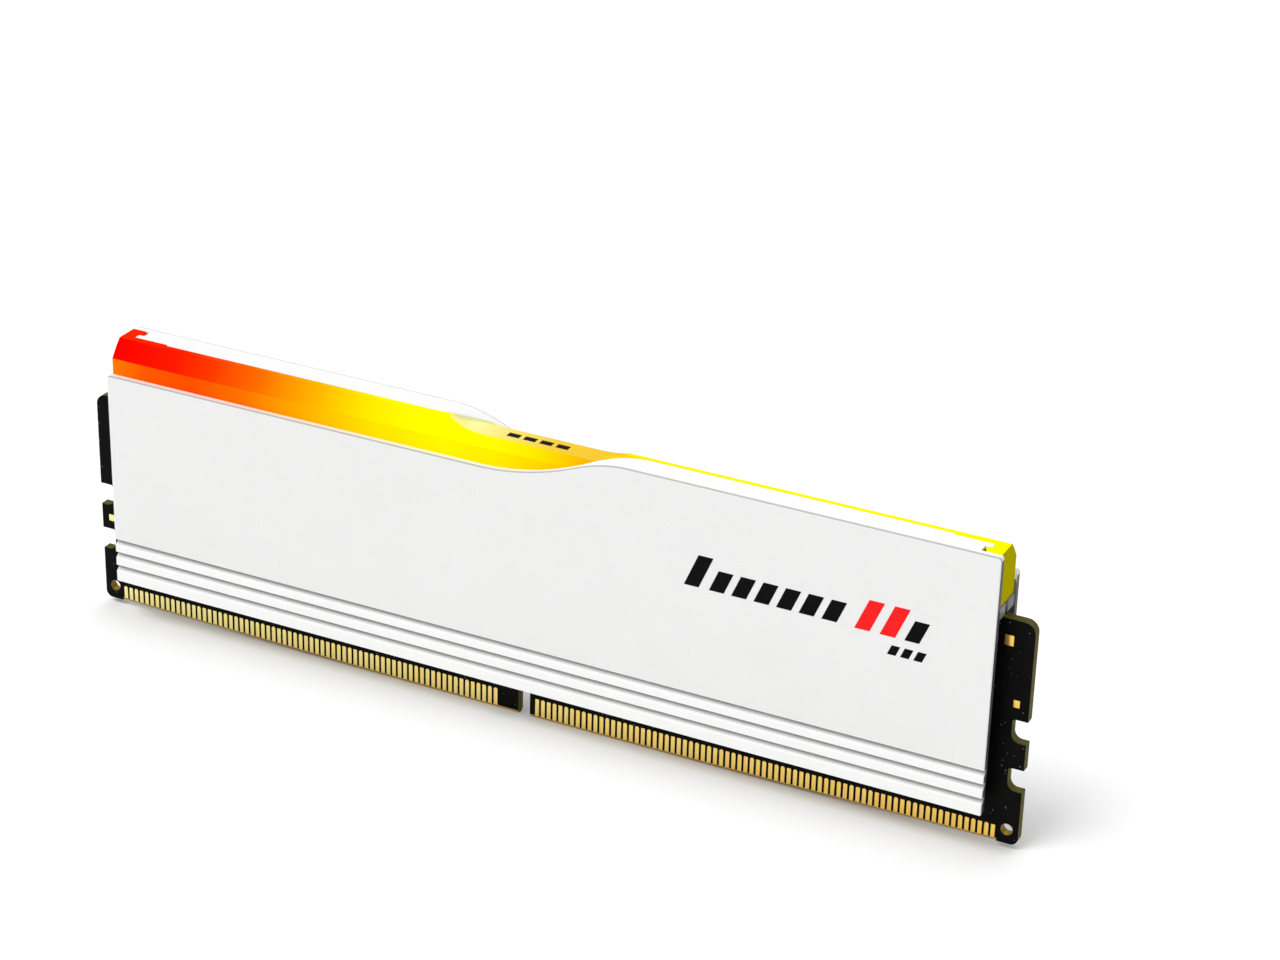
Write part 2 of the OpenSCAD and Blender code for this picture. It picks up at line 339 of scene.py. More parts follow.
def moulded(name, low, high, rough=(0.45, 0.6), grain_scale=2400, depth=0.02):
    """A moulded or ceramic material with a fine grain between two colours."""
    look = Look(name, Specular_IOR_Level=0.4)
    grain = look.noise(grain_scale, 4)
    look.link("Base Color", look.blend(look.span(grain, 0, 1), low, high))
    look.link("Roughness", look.span(look.noise(500, 2), *rough))
    look.bump(grain, 0.3, depth)
    return look.material


def bare_metal(name, low, high, rough=(0.3, 0.45)):
    look = Look(name, Metallic=1.0)
    grain = look.noise(1800, 4)
    look.link("Base Color", look.blend(look.span(grain, 0, 1), low, high))
    look.link("Roughness", look.span(grain, *rough))
    look.bump(grain, 0.2, 0.01)
    return look.material


def glow(name, stops, glow_strength, body_share):
    """Milky diffuser lit from inside; its colour runs along X through stops (x in mm, colour)."""
    look = Look(name, Specular_IOR_Level=0.0, Emission_Strength=glow_strength)
    along = look.span(look.axis("X"), 0, 1, -SHEET_HALF * MM, SHEET_HALF * MM)
    places = [((x + SHEET_HALF) / (2 * SHEET_HALF), srgb(*colour)) for x, colour in stops]
    colour = look.ramp(along, places)
    cloud = look.noise(160, 3)
    shaded = look.blend(look.span(cloud, 0, 0.06), colour, grey(0.0))
    look.link("Emission Color", shaded)
    share = look.span(cloud, body_share * 0.96, body_share)
    look.link("Base Color", look.blend(share, grey(0.0), colour))
    look.link("Roughness", look.span(look.noise(3000, 3), 0.42, 0.55))
    look.bump(look.noise(4200, 3), 0.12, 0.02)
    return look.material


def ink(name, colour, thin):
    """Screen-printed ink, a little thinner in places."""
    look = Look(name, Specular_IOR_Level=0.05)
    patchy = look.noise(2600, 4)
    look.link("Base Color", look.blend(look.span(patchy, 0, 0.5), colour, thin))
    look.link("Roughness", look.span(patchy, 0.4, 0.6))
    look.bump(patchy, 0.15, 0.01)
    return look.material


# Painted shade in the grooves, darker towards each groove's floor. The groove paint is also lighter
# than the face paint: a painted highlight on the lips and the lower face.
GROOVE_SHADE_STOPS = [(0.0, grey(0.36)), (0.13, grey(0.42)), (0.24, grey(0.62)), (0.5, grey(0.8)),
                 (0.85, grey(0.95)), (1.0, grey(1.0))]
PAINT = powder_coat("white_powder_coat", 0.84)
# Painted shade: a grey line along the top edge of the face, where it turns into the fold.
FOLD_LINE_SHADE_PAINT = powder_coat("powder_coat_painted_fold_line_shade", 0.44)
GROOVE_SHADE_AND_HIGHLIGHT_PAINT = powder_coat("powder_coat_painted_groove_shade_and_highlight", 0.94, GROOVE_SHADE_STOPS)
# Painted shade: near-black paint on the spreaders' end faces and on the light bar's gap-shadow
# blocks.
DARK_SHADE_PAINT = powder_coat("powder_coat_painted_dark_shade", 0.06)
# Painted shade: dark grey on the inner face, under the fold and on the tabs.
INSIDE_SHADE_PAINT = powder_coat("powder_coat_painted_inside_shade", 0.18)
MASK = solder_mask()
LAMINATE = glass_epoxy("glass_epoxy_edge", (0.25, 0.225, 0.045, 1), (0.018, 0.015, 0.004, 1))
BEVEL = glass_epoxy("glass_epoxy_bevel", (0.72, 0.46, 0.1, 1), (0.42, 0.24, 0.05, 1))
GOLD = gold_plate()
HOLE_PLATE = bare_metal("hole_plating", (0.13, 0.08, 0.006, 1), (0.34, 0.22, 0.025, 1))
EPOXY = moulded("black_moulding_compound", (0.012, 0.012, 0.013, 1), (0.03, 0.03, 0.032, 1))
SUBSTRATE = moulded("green_black_substrate", (0.01, 0.025, 0.016, 1), (0.02, 0.045, 0.03, 1))
TIN = bare_metal("tinned_terminal", (0.5, 0.5, 0.5, 1), (0.72, 0.72, 0.7, 1))
CERAMIC = moulded("tan_ceramic", (0.3, 0.2, 0.12, 1), (0.42, 0.3, 0.19, 1))
FERRITE = moulded("grey_ferrite", (0.06, 0.06, 0.065, 1), (0.13, 0.13, 0.14, 1), (0.6, 0.8))
HOUSING = moulded("white_led_housing", (0.7, 0.7, 0.68, 1), (0.8, 0.8, 0.78, 1))
PHOSPHOR = moulded("led_resin", (0.75, 0.55, 0.15, 1), (0.85, 0.68, 0.25, 1), (0.15, 0.3))
SILICONE = moulded("grey_thermal_silicone", (0.24, 0.28, 0.32, 1), (0.32, 0.36, 0.4, 1),
                   (0.7, 0.9), 1300, 0.05)
BLACK_INK = ink("black_ink", (0.0015, 0.0015, 0.0018, 1), (0.005, 0.005, 0.005, 1))
RED_INK = ink("red_ink", (0.95, 0.01, 0.01, 1), (0.97, 0.03, 0.03, 1))

SLOPE_GLOW = [
    (-62, (255, 2, 0)), (-53, (255, 24, 0)), (-47, (255, 56, 0)), (-40, (255, 105, 0)),
    (-32, (255, 170, 0)), (-24, (255, 224, 0)), (-14, (255, 254, 0)), (-6, (255, 248, 0)),
    (1, (255, 222, 0)), (8, (255, 176, 0)), (13, (255, 235, 0)), (62, (255, 250, 0))]
BAND_GLOW = [
    (-62, (255, 122, 0)), (-57, (255, 86, 0)), (-50, (255, 80, 0)), (-42, (255, 114, 0)),
    (-32, (255, 178, 0)), (-22, (255, 227, 0)), (-12, (255, 244, 0)), (-4, (255, 234, 0)),
    (4, (255, 200, 0)), (12, (255, 225, 0)), (62, (255, 240, 0))]
FLAT_GLOW = [
    (-62, (230, 60, 20)), (-14, (253, 240, 120)), (-9, (254, 247, 160)), (-4, (250, 228, 118)),
    (2, (245, 206, 66)), (9, (244, 198, 52)), (62, (225, 210, 40))]
TOP_GLOW = [
    (-62, (255, 38, 0)), (-52, (255, 36, 0)), (-42, (255, 96, 0)), (-32, (255, 174, 0)),
    (-22, (255, 240, 0)), (-10, (255, 255, 0)), (0, (255, 235, 0)), (14, (248, 235, 0)),
    (62, (255, 252, 0))]
# The end faces glow dimmer: painted shade on faces turned away from the key light.
END_SHADE_GLOW = [(-62, (150, 18, 0)), (62, (160, 150, 0))]
SLOPE_LIGHT = glow("diffuser_slope", SLOPE_GLOW, 0.55, 0.5)
BAND_LIGHT = glow("diffuser_band", BAND_GLOW, 0.6, 0.45)
FLAT_LIGHT = glow("diffuser_flat", FLAT_GLOW, 0.35, 0.6)
TOP_LIGHT = glow("diffuser_top", TOP_GLOW, 0.55, 0.5)
END_SHADED_LIGHT = glow("diffuser_end_painted_shade", END_SHADE_GLOW, 0.55, 0.6)


# ---------------------------------------------------------------- mesh tools

def tidy(bm):
    """Merges points that coincide, drops empty faces and turns the faces outwards."""
    bmesh.ops.remove_doubles(bm, verts=bm.verts, dist=2e-4)
    bmesh.ops.dissolve_degenerate(bm, dist=2e-4, edges=bm.edges)
    bmesh.ops.recalc_face_normals(bm, faces=bm.faces)


def as_mesh(bm, name, materials, sharp_from=32):
    """The mesh in metres, with smooth shading broken at sharp edges."""
    bmesh.ops.scale(bm, vec=(MM, MM, MM), verts=bm.verts)
    mesh = bpy.data.meshes.new(name)
    bm.to_mesh(mesh)
    bm.free()
    for look in materials:
        mesh.materials.append(look)
    mesh.shade_smooth()
    mesh.set_sharp_from_angle(angle=math.radians(sharp_from))
    return mesh


def place(name, mesh, node, slot):
    """Makes the mesh a piece that stands for a CAD node."""
    piece = bpy.data.objects.new(name, mesh)
    scene.collection.objects.link(piece)
    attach(piece, BODY)
    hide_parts(node)
    return piece


def loft(bm, sections, tags, cap_tag):
    """Skins closed sections of equal length; tags hold the material of each side."""
    rings = [[bm.verts.new(point) for point in section] for section in sections]
    for here, there in zip(rings, rings[1:]):
        for side, tag in enumerate(tags):
            after = (side + 1) % len(tags)
            face = bm.faces.new((here[side], here[after], there[after], there[side]))
            face.material_index = tag
    for ring in (rings[0], rings[-1]):
        bm.faces.new(ring).material_index = cap_tag


def block(bm, low, high, tag=0, chamfer=0.05, steps=1):
    """A block with chamfered or rounded edges between two corners."""
    low, high = Vector(low), Vector(high)
    made = bmesh.ops.create_cube(bm, size=1.0)["verts"]
    bmesh.ops.scale(bm, vec=high - low, verts=made)
    bmesh.ops.translate(bm, vec=(low + high) / 2, verts=made)
    faces = {face for vert in made for face in vert.link_faces}
    for face in faces:
        face.material_index = tag
    edges = list({edge for vert in made for edge in vert.link_edges})
    bmesh.ops.bevel(bm, geom=edges, offset=chamfer, segments=steps, profile=0.5,
                    affect="EDGES", material=-1)


def arc(centre_x, centre_z, radius, start, end, steps=8):
    """Points of an arc in X and Z, from one angle to another in degrees."""
    turns = [math.radians(start + (end - start) * i / steps) for i in range(steps + 1)]
    return [(centre_x + radius * math.cos(t), centre_z + radius * math.sin(t)) for t in turns]


def union(mesh, extra, name):
    """The union of two closed meshes."""
    first = bpy.data.objects.new(name + "_a", mesh)
    second = bpy.data.objects.new(name + "_b", extra)
    for part in (first, second):
        scene.collection.objects.link(part)
    cut = first.modifiers.new("union", "BOOLEAN")
    cut.operation = "UNION"
    cut.solver = "MANIFOLD"
    cut.object = second
    done = first.evaluated_get(bpy.context.evaluated_depsgraph_get())
    joined = bpy.data.meshes.new_from_object(done)
    joined.name = name
    for part in (first, second):
        bpy.data.objects.remove(part)
    return joined


# ---------------------------------------------------------------- heat spreaders

def edge_height(x):
    """Height of the front heat spreader's upper edge."""
    start, middle, end = RISE
    if x < CORNER_R - SHEET_HALF:
        gone = CORNER_R - (x + SHEET_HALF)
        return LOW_TOP - CORNER_R + math.sqrt(max(0.0, CORNER_R ** 2 - gone ** 2))
    if x > SHEET_HALF - CORNER_R:
        gone = CORNER_R - (SHEET_HALF - x)
        return HIGH_TOP - CORNER_R + math.sqrt(max(0.0, CORNER_R ** 2 - gone ** 2))
    if x <= start:
        share = 0.0
    elif x < middle:
        share = RISE_PART * ((x - start) / (middle - start)) ** 2
    elif x < end:
        share = 1 - (1 - RISE_PART) * ((end - x) / (end - middle)) ** 2
    else:
        share = 1.0
    return LOW_TOP + (HIGH_TOP - LOW_TOP) * share


def fold_reach(x):
    """Y of the fold's leading edge on the front heat spreader; without a fold, the inner face."""
    if x <= WAVE[0]:
        return -INNER
    if x < WAVE[1]:
        return -INNER * ((WAVE[1] - x) / (WAVE[1] - WAVE[0])) ** WAVE_POWER
    if x <= STEP_X[0]:
        return 0.0
    if x < STEP_X[1]:
        return -STEP_Y * (x - STEP_X[0]) / (STEP_X[1] - STEP_X[0])
    return -STEP_Y


def groove_points():
    """Points up the grooved part of the face as (depth, height)."""
    points = []
    steps = 8
    for top in GROOVE_TOPS:
        for i in range(steps + 1):
            part = i / steps
            height = top - GROOVE_H + part * (GROOVE_H - GROOVE_CORNER)
            points.append((GROOVE_D * math.sin(part * math.pi / 2), height))
        points += [(GROOVE_D, top), (LIP, top), (0.0, top + LIP)]
    return points


# The groove, fold-line, cut and inside tags carry painted shade: in the grooves, along the top edge,
# on the end faces, and on the inner side and tabs. The groove paint also carries a painted highlight
# on the lips.
COAT, FOLD_LINE_SHADE, GROOVE, CUT, INSIDE_SHADE = range(5)
GROOVES = groove_points()
# The tag of each side of a section, from the foot up the face, over the fold and down inside
SHEET_TAGS = ([GROOVE] * (1 + len(GROOVES)) + [COAT, FOLD_LINE_SHADE, FOLD_LINE_SHADE, COAT, COAT, COAT]
              + [INSIDE_SHADE] * 4 + [COAT])


def sheet_section(x, inset, reach):
    """A section of the front heat spreader; inset narrows it for a chamfered end."""
    top = edge_height(x) - inset
    foot = SHEET_FOOT + inset
    face = inset - OUTER
    under = min(EDGE, reach + INNER)
    outline = [(face + EDGE, foot), (face, foot + EDGE)]
    outline += [(face + depth, height) for depth, height in GROOVES]
    outline += [(face, top - EDGE), (face + EDGE, top), (face + EDGE + EDGE_LINE, top),
                (reach - EDGE, top), (reach, top - EDGE),
                (reach, top - SHEET_T + under), (reach - under, top - SHEET_T),
                (-INNER, top - SHEET_T), (-INNER, foot + EDGE), (-INNER - EDGE, foot)]
    return [(x, y, z) for y, z in outline]


def sheet_stations():
    """(x, inset, reach) at each section, from the low end to the high end."""
    rounding = [CORNER_R * (1 - math.cos(math.radians(a))) for a in (45, 60, 75, 90)]
    rows = [(-SHEET_HALF, EDGE), (EDGE - SHEET_HALF, 0.0)]
    rows += [(step - SHEET_HALF, 0.0) for step in rounding]
    rows += [(x, 0.0) for x in (-50.0, -35.0, -20.0)]
    steps = round((WAVE[1] - RISE[0]) / WAVE_STEP)
    rows += [(RISE[0] + WAVE_STEP * i, 0.0) for i in range(steps + 1)]
    rows += [(x, 0.0) for x in (25.0, 40.0, *STEP_X, FOLD_END - EDGE)]
    stations = [(x, inset, fold_reach(x)) for x, inset in rows]
    stations.append((FOLD_END, 0.0, fold_reach(FOLD_END) - EDGE))
    plain = [(FOLD_END, 0.0)] + [(SHEET_HALF - step, 0.0) for step in reversed(rounding)]
    plain += [(SHEET_HALF - EDGE, 0.0), (SHEET_HALF, EDGE)]
    return stations + [(x, inset, -INNER) for x, inset in plain]


def heat_spreader_mesh():
    looks = (PAINT, FOLD_LINE_SHADE_PAINT, GROOVE_SHADE_AND_HIGHLIGHT_PAINT, DARK_SHADE_PAINT, INSIDE_SHADE_PAINT)
    bm = bmesh.new()
    loft(bm, [sheet_section(*row) for row in sheet_stations()], SHEET_TAGS, CUT)
    tidy(bm)
    shell = as_mesh(bm, "sheet", looks)
    bm = bmesh.new()
    block(bm, (FOLD_END - 0.6, -TONGUE_Y, HIGH_TOP - SHEET_T),
          (TONGUE_END, -STEP_Y, HIGH_TOP), 0, 0.12, 2)
    # The tabs take the dark inside paint: painted shade in the slot between them.
    for end in (-SHEET_HALF + EDGE, SHEET_HALF - EDGE - TAB_LEN):
        block(bm, (end, -INNER - 0.3, TAB_FOOT), (end + TAB_LEN, -TAB_GAP, BAR_FOOT), INSIDE_SHADE,
              0.12, 2)
    bmesh.ops.recalc_face_normals(bm, faces=bm.faces)
    joined = union(shell, as_mesh(bm, "tabs", looks), "heat_spreader")
    joined.shade_smooth()
    joined.set_sharp_from_angle(angle=math.radians(32))
    return joined


def make_heat_spreaders():
    front = heat_spreader_mesh()
    rear = front.copy()
    rear.transform(HALF_TURN)
    place("front_spreader_sheet", front, "front_heat_spreader", "white_paint")
    place("rear_spreader_sheet", rear, "rear_heat_spreader", "white_paint")


# ---------------------------------------------------------------- light bar

# END carries the painted-shade glow of the bar's end faces.
SLOPE, BAND, FLAT, TOP, END, GAP_SHADOW = range(6)
# The tag of each side of a section, from the rear crease over the top and round the foot
RIDGE_TAGS = [SLOPE, FLAT, TOP, TOP, TOP, SLOPE, SLOPE, SLOPE, BAND, BAND, BAND]
RAMP_TAGS = [SLOPE, FLAT, TOP, FLAT, FLAT, SLOPE, SLOPE, SLOPE, BAND, BAND, BAND]


def bar_section(x):
    """A section of the light bar's left half without its hook."""
    ramp_end, ramp_start = RIDGE_X[1], RIDGE_X[0]
    if x <= ramp_start:
        rise = HIGH_TOP - BAR_TOP
    elif x < ramp_end:
        rise = (HIGH_TOP - BAR_TOP) * (1 - (x - ramp_start) / (ramp_end - ramp_start)) ** 2
    else:
        rise = 0.0
    share = rise / (HIGH_TOP - BAR_TOP)
    lean = -BAR_FLAT + (BAR_FLAT - RIDGE_Y) * share
    soft = CREST_SOFT * share
    top = BAR_TOP + rise
    inner = -RIDGE_GAP if x <= ramp_end else -BAR_FLAT
    outline = [(BAR_W, CREASE_Z), (BAR_FLAT, BAR_TOP), (inner, BAR_TOP), (inner, top),
               (lean + soft, top), (lean + soft * 0.1, top - soft * 0.2),
               (lean - soft * 0.62, top - soft * 0.79), (-BAR_FLAT, BAR_TOP),
               (-BAR_W, CREASE_Z), (-BAR_W, BAR_FOOT), (BAR_W, BAR_FOOT)]
    return [(x, y, z) for y, z in outline]


def skin_bar_half(bm, turn):
    """Half of the light bar, turned half a turn when turn is -1."""
    ramp = [RIDGE_X[0] + (RIDGE_X[1] - RIDGE_X[0]) * i / 12 for i in range(13)] + [0.0]
    for stations, tags in (([-BAR_HALF, -45.0, -30.0, RIDGE_X[0]], RIDGE_TAGS), (ramp, RAMP_TAGS)):
        sections = [bar_section(x) for x in stations]
        loft(bm, [[(turn * x, turn * y, z) for x, y, z in section] for section in sections],
             tags, END)


def drop_inner_caps(bm):
    """Removes the cross faces that the stretches of the light bar share."""
    for face in list(bm.faces):
        places = [vert.co.x for vert in face.verts]
        if max(places) - min(places) < 1e-6 and abs(places[0]) < BAR_HALF - 1:
            bm.faces.remove(face)


def raise_outline(bm, outline, turn, top, tag, last_tag):
    """Raises an outline from below the crease to top; last_tag is for its last side."""
    rings = [[bm.verts.new((turn * x, turn * y, z)) for x, y in outline]
             for z in (CREASE_Z - 0.5, top)]
    for side in range(len(outline)):
        after = (side + 1) % len(outline)
        wall = bm.faces.new((rings[0][side], rings[0][after], rings[1][after], rings[1][side]))
        wall.material_index = last_tag if side == len(outline) - 1 else tag
    for ring in rings:
        bm.faces.new(ring).material_index = tag


def make_light_bar():
    looks = (SLOPE_LIGHT, BAND_LIGHT, FLAT_LIGHT, TOP_LIGHT, END_SHADED_LIGHT, DARK_SHADE_PAINT)
    bm = bmesh.new()
    for turn in (1, -1):
        skin_bar_half(bm, turn)
    drop_inner_caps(bm)
    tidy(bm)
    body = as_mesh(bm, "bar_body", looks)

    bm = bmesh.new()
    inner = STEP_Y - RIDGE_GAP
    tongue_end = TONGUE_END + HOOK_GAP
    crest = CREST_SOFT - RIDGE_Y
    hook = [(-BAR_HALF, crest), (-STEP_X[0], crest), (-STEP_X[0], -RIDGE_GAP),
            (-STEP_X[1], inner), (-tongue_end, inner), (-tongue_end, FINGER_Y),
            (-FINGER_X[0], FINGER_Y), (-FINGER_X[1], BAR_W), (-BAR_HALF, BAR_W)]
    # A dark block in the gap beside each finger: painted shadow, not a real recess.
    gap_shadow = [(-FOLD_END - 0.02, FINGER_Y), (-FINGER_X[0], FINGER_Y), (-FINGER_X[1], BAR_W),
              (-FOLD_END - 0.02, BAR_W)]
    for turn in (1, -1):
        raise_outline(bm, hook, turn, HIGH_TOP, TOP, END)
        raise_outline(bm, gap_shadow, turn, HIGH_TOP - GAP_SHADOW_D, GAP_SHADOW, GAP_SHADOW)
    bmesh.ops.recalc_face_normals(bm, faces=bm.faces)
    joined = union(body, as_mesh(bm, "bar_hooks", looks), "light_bar_diffuser")
    joined.shade_smooth()
    joined.set_sharp_from_angle(angle=math.radians(20))
    piece = place("light_bar_diffuser", joined, "light_bar", "diffuser")
    soft = piece.modifiers.new("edges", "BEVEL")
    soft.width = 0.06 * MM
    soft.segments = 2
    soft.limit_method = "ANGLE"
    soft.angle_limit = math.radians(20)
    soft.harden_normals = True


# ---------------------------------------------------------------- circuit board

def bow(x):
    """Height of the contact edge, which bows down towards its middle."""
    return EDGE_BOW * (x / BLADE_HALF) ** 2


def latch_outline(low):
    """One latch notch of the right-hand end, upwards."""
    floor = BOARD_HALF - LATCH_D
    low_r, high_r = LATCH_R
    high = low + LATCH_H
    return ([(BOARD_HALF, low)] + arc(floor + low_r, low + low_r, low_r, 270, 180)
            + arc(floor + high_r, high - high_r, high_r, 180, 90) + [(BOARD_HALF, high)])


def board_outline(lift):
    """The board's outline; lift raises the contact edge, for its bevel."""
    def blade(start, end, steps=24):
        run = [start + (end - start) * i / steps for i in range(steps + 1)]
        return [(x, bow(x) + lift) for x in run]
    side = [(BLADE_HALF, EDGE_BOW)]
    side += arc(BOARD_HALF - LOW_R, EDGE_BOW + LOW_R, LOW_R, 270, 360)
    for low in LATCH_Z:
        side += latch_outline(low)
    side += arc(BOARD_HALF - TOP_R, BOARD_TOP - TOP_R, TOP_R, 0, 90)
    key = [(KEY[0], KEY[2]), (KEY[1], KEY[2])]
    mirrored = [(-x, z) for x, z in reversed(side)]
    return blade(-BLADE_HALF, KEY[0]) + key + blade(KEY[1], BLADE_HALF) + side + mirrored


MASKED, CLOTH, SLANT, PLATED = range(4)


def make_board():
    bm = bmesh.new()
    holes = [arc(x, HOLE_Z, HOLE_R, 0, 360, HOLE_SIDES)[:-1] for x in (-HOLE_X, HOLE_X)]
    layers = [(-BOARD_FACE, BEVEL_H), (BEVEL_D - BOARD_FACE, 0.0),
              (BOARD_FACE - BEVEL_D, 0.0), (BOARD_FACE, BEVEL_H)]
    rings = []
    for y, lift in layers:
        loops = [board_outline(lift)] + holes
        rings.append([[bm.verts.new((x, y, z)) for x, z in loop] for loop in loops])
    for here, there, slanted in zip(rings, rings[1:], (True, False, True)):
        for loop_a, loop_b in zip(here, there):
            for i in range(len(loop_a)):
                j = (i + 1) % len(loop_a)
                wall = bm.faces.new((loop_a[i], loop_a[j], loop_b[j], loop_b[i]))
                lifts = [abs(loop_a[k].co.z - loop_b[k].co.z) for k in (i, j)]
                wall.material_index = SLANT if slanted and min(lifts) > 0.01 else CLOTH
                if len(loop_a) == HOLE_SIDES:
                    wall.material_index = PLATED
    for ring in (rings[0], rings[-1]):
        edges = [bm.edges.get((loop[i], loop[(i + 1) % len(loop)]))
                 for loop in ring for i in range(len(loop))]
        made = bmesh.ops.triangle_fill(bm, use_beauty=True, edges=edges)["geom"]
        for face in made:
            if isinstance(face, bmesh.types.BMFace):
                face.material_index = MASKED
    tidy(bm)
    place("board_laminate", as_mesh(bm, "board", (MASK, LAMINATE, BEVEL, HOLE_PLATE)),
          "circuit_board", "solder_mask")


def pad_outline(x, squared):
    """A contact's outline: straight sides and a rounded or squared upper end."""
    half = PAD_W / 2
    foot = bow(x) + BEVEL_H + 0.01
    if squared:
        head = [(x + half, PAD_TOP - 0.12), (x + half - 0.04, PAD_TOP - 0.06),
                (x - half + 0.04, PAD_TOP - 0.06), (x - half, PAD_TOP - 0.12)]
    else:
        head = arc(x, PAD_TOP - half, half, 0, 180, 10)
    return [(x - half, foot), (x + half, foot)] + head


def make_contacts(name, node, side):
    """The row of contacts on the front, side -1, or on the rear, side 1."""
    bm = bmesh.new()
    starts = [FIRST_PAD + i * PITCH for i in range(PADS_LEFT)]
    starts += [SECOND_ROW + i * PITCH for i in range(PADS_RIGHT)]
    shrink = 0.05
    for index, x in enumerate(starts):
        outline = pad_outline(x, squared=index % 7 in (1, 3, 6) or index % 11 == 5)
        centre = sum(z for _, z in outline) / len(outline)
        rings = []
        for depth, narrow in ((-0.02, 0.0), (PAD_LIFT - 0.012, 0.0), (PAD_LIFT, shrink)):
            y = side * (BOARD_FACE + depth)
            across = 1 - 2 * narrow / PAD_W
            along = 1 - narrow / (PAD_TOP - centre)
            rings.append([(x + (px - x) * across, y, centre + (pz - centre) * along)
                          for px, pz in outline])
        loft(bm, rings, [0] * len(outline), 0)
    tidy(bm)
    place(name, as_mesh(bm, name, (GOLD,)), node, "gold")


def make_test_pads():
    """Small gold pads at the board's ends, with a soft rim."""
    bm = bmesh.new()
    for x0, x1, z0, z1, side in TEST_PADS:
        near, far = sorted((side * (BOARD_FACE - 0.02), side * (BOARD_FACE + PAD_LIFT)))
        block(bm, (x0, near, z0), (x1, far, z1), 0, 0.015, 2)
    bmesh.ops.recalc_face_normals(bm, faces=bm.faces)
    place("board_test_pads", as_mesh(bm, "board_test_pads", (GOLD,)), "test_pads", "gold")


# ---------------------------------------------------------------- electronics

def outward(low, high):
    """-1 for a part on the front of the board and 1 for one on the rear."""
    return -1 if low.y + high.y < 0 else 1


def add_balls(bm, low, high, seat, foot):
    """Rows of squashed solder balls between the board, at Y seat, and the substrate, at foot."""
    across, up = high.x - low.x, high.z - low.z
    columns = max(3, int(across / BALL_PITCH))
    rows = max(3, int(up / BALL_PITCH))
    squash = abs(foot - seat) * 0.62 / BALL_R
    for i in range(columns):
        for k in range(rows):
            spot = Vector((low.x + across * (i + 0.5) / columns, (seat + foot) / 2,
                           low.z + up * (k + 0.5) / rows))
            ball = bmesh.ops.create_icosphere(bm, subdivisions=1, radius=BALL_R)["verts"]
            bmesh.ops.scale(bm, vec=(1, squash, 1), verts=ball)
            bmesh.ops.translate(bm, vec=spot, verts=ball)
            for side_of_ball in {f for v in ball for f in v.link_faces}:
                side_of_ball.material_index = 2


def add_dot(bm, low, high, middle):
    """The pin-one mark, a thin disc about Y middle in the package's upper left corner."""
    across, up = high.x - low.x, high.z - low.z
    radius = min(across, up) * 0.05
    dot = bmesh.ops.create_cone(bm, cap_ends=True, segments=20, depth=0.03,
                                radius1=radius, radius2=radius)["verts"]
    bmesh.ops.transform(bm, matrix=Matrix.Rotation(math.radians(90), 4, "X"), verts=dot)
    corner = Vector((low.x + across * 0.1, middle, high.z - up * 0.1))
    bmesh.ops.translate(bm, vec=corner, verts=dot)
    for side_of_dot in {f for v in dot for f in v.link_faces}:
        side_of_dot.material_index = 1


def make_package(node):
    """A chip: solder balls, substrate, moulded body and a pin-one mark."""
    low, high = box_mm(node)
    side = outward(low, high)
    seat, face = (high.y, low.y) if side < 0 else (low.y, high.y)
    body_foot = seat + (face - seat) * 0.36
    board_foot = seat + (face - seat) * 0.2
    bm = bmesh.new()
    block(bm, (low.x, min(board_foot, body_foot), low.z),
          (high.x, max(board_foot, body_foot), high.z), 1, 0.02)
    inset = 0.06
    top = face - side * 0.01
    block(bm, (low.x + inset, min(body_foot, top), low.z + inset),
          (high.x - inset, max(body_foot, top), high.z - inset), 0, 0.07, 2)
    add_balls(bm, low, high, seat, board_foot)
    add_dot(bm, low, high, face - side * 0.015)
    name = node + "_package"
    place(name, as_mesh(bm, name, (EPOXY, SUBSTRATE, TIN)), node, "chip_epoxy")


def two_terminal(bm, low, high, share):
    """A chip component along X between two corners: a body and two metal ends."""
    low, high = Vector(low), Vector(high)
    cap = (high.x - low.x) * share
    thin = Vector((0, (high.y - low.y) * 0.04, (high.z - low.z) * 0.04))
    round_off = min(high.y - low.y, high.z - low.z) * 0.12
    block(bm, low + thin + Vector((cap * 0.7, 0, 0)), high - thin - Vector((cap * 0.7, 0, 0)),
          0, round_off * 0.5)
    block(bm, low, Vector((low.x + cap, high.y, high.z)), 1, round_off, 2)
    block(bm, Vector((high.x - cap, low.y, low.z)), high, 1, round_off, 2)


def separate_boxes(node):
    """The corners, in millimetres, of each separate solid of a CAD node."""
    bm = bmesh.new()
    bm.from_mesh(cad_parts[node].data)
    bmesh.ops.remove_doubles(bm, verts=bm.verts, dist=1e-7)
    left = set(bm.verts)
    boxes = []
    while left:
        island, queue = set(), [left.pop()]
        while queue:
            vert = queue.pop()
            island.add(vert)
            for edge in vert.link_edges:
                other = edge.other_vert(vert)
                if other in left:
                    left.discard(other)
                    queue.append(other)
        points = [v.co / MM for v in island]
        boxes.append((Vector([min(p[i] for p in points) for i in range(3)]),
                      Vector([max(p[i] for p in points) for i in range(3)])))
    bm.free()
    return sorted(boxes, key=lambda pair: tuple(round(c, 3) for c in pair[0]))


def make_components(node, name, slot, body, share):
    """Every chip component of a node, in its place."""
    bm = bmesh.new()
    for low, high in separate_boxes(node):
        two_terminal(bm, low, high, share)
    bmesh.ops.recalc_face_normals(bm, faces=bm.faces)
    place(name, as_mesh(bm, name, (body, TIN)), node, slot)


